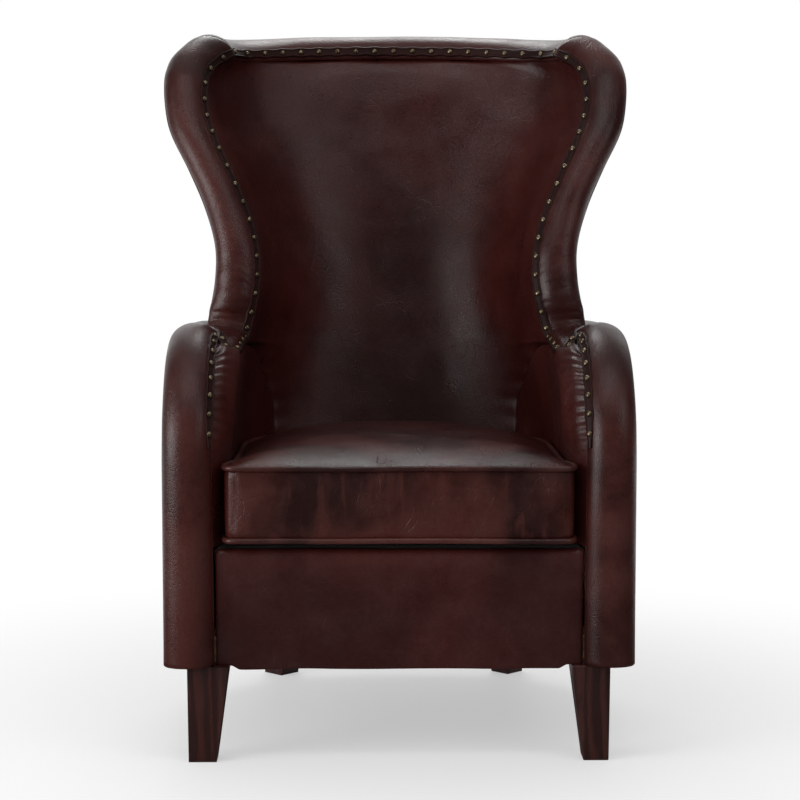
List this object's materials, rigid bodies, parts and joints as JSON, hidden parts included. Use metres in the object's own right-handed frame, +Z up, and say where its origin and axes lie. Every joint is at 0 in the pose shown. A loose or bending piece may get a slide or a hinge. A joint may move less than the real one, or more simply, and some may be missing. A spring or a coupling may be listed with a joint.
{
  "type": "wingback armchair",
  "caption": "Upholstered leather wingback armchair with rolled arms, nailed wings, tapered wooden legs and a loose seat cushion that slides out.",
  "frame": {"origin": "on the floor, under the middle of the chair's box", "axes": "+Z up, the chair faces -Y, +X to the right of someone who looks at its front"},
  "size_m": [0.764, 0.7702, 1.1288],
  "materials": {
    "leather": "antiqued satin",
    "leg_wood": "dark satin stain",
    "frame_board": "raw",
    "foam": "open foam",
    "lining": "matt cloth",
    "zip_tape": "matt tape",
    "steel": "plated",
    "nail_trim": "antique heads on a leather strip",
    "zip_metal": "antique"
  },
  "bodies": {
    "frame": {"leg_front_right": "leg_wood", "leg_front_left": "leg_wood", "leg_rear_right": "leg_wood", "leg_rear_left": "leg_wood", "leg_bolt_front_right": "steel", "leg_bolt_front_left": "steel", "leg_bolt_rear_right": "steel", "leg_bolt_rear_left": "steel", "seat_spring_unit": "steel", "corner_block_front_right": "frame_board", "corner_block_front_left": "frame_board", "corner_block_rear_right": "frame_board", "corner_block_rear_left": "frame_board", "arm_frame_right": "frame_board", "arm_frame_left": "frame_board", "wing_frame_right": "frame_board", "wing_frame_left": "frame_board", "front_seat_rail": "frame_board", "rear_seat_rail": "frame_board", "lumbar_rail": "frame_board", "crest_rail": "frame_board", "back_webbing": "lining", "dust_cover": "lining", "deck_cover": "lining", "deck_pad": "foam", "front_border_pad": "foam", "inside_back_pad": "foam", "crest_roll": "foam", "arm_pad_right": "foam", "arm_pad_left": "foam", "arm_roll_right": "foam", "arm_roll_left": "foam", "wing_roll_right": "foam", "wing_roll_left": "foam", "front_border_cover": "leather", "inside_back_cover": "leather", "crest_band": "leather", "outside_back_cover": "leather", "inside_arm_cover_right": "leather", "inside_arm_cover_left": "leather", "arm_band_right": "leather", "arm_band_left": "leather", "wing_band_right": "leather", "wing_band_left": "leather", "outside_arm_cover_right": "leather", "outside_arm_cover_left": "leather", "outside_wing_cover_right": "leather", "outside_wing_cover_left": "leather", "nail_trim": "nail_trim", "arm_nail_trim_right": "nail_trim", "arm_nail_trim_left": "nail_trim"},
    "seat_cushion": {"cushion_core": "foam", "cushion_top_panel": "leather", "cushion_bottom_panel": "leather", "cushion_boxing": "leather", "cushion_piping_top": "leather", "cushion_piping_bottom": "leather", "cushion_zip": "zip_tape"},
    "zip_slider": {"zip_slider": "zip_metal"},
    "zip_pull": {"zip_pull": "zip_metal"}
  },
  "joints": [
    {"name": "cushion_slide", "type": "slide", "parent": "frame", "child": "seat_cushion", "axis": [0, -1, 0], "range_m": [0, 0.45]},
    {"name": "zip_slide", "type": "slide", "parent": "seat_cushion", "child": "zip_slider", "axis": [1, 0, 0], "range_m": [0, 0.181]},
    {"name": "zip_pull_swing", "type": "hinge", "parent": "zip_slider", "child": "zip_pull", "pos_m": [-0.0905, 0.1459, 0.3865], "axis": [1, 0, 0], "range_deg": [0, 20]}
  ]
}
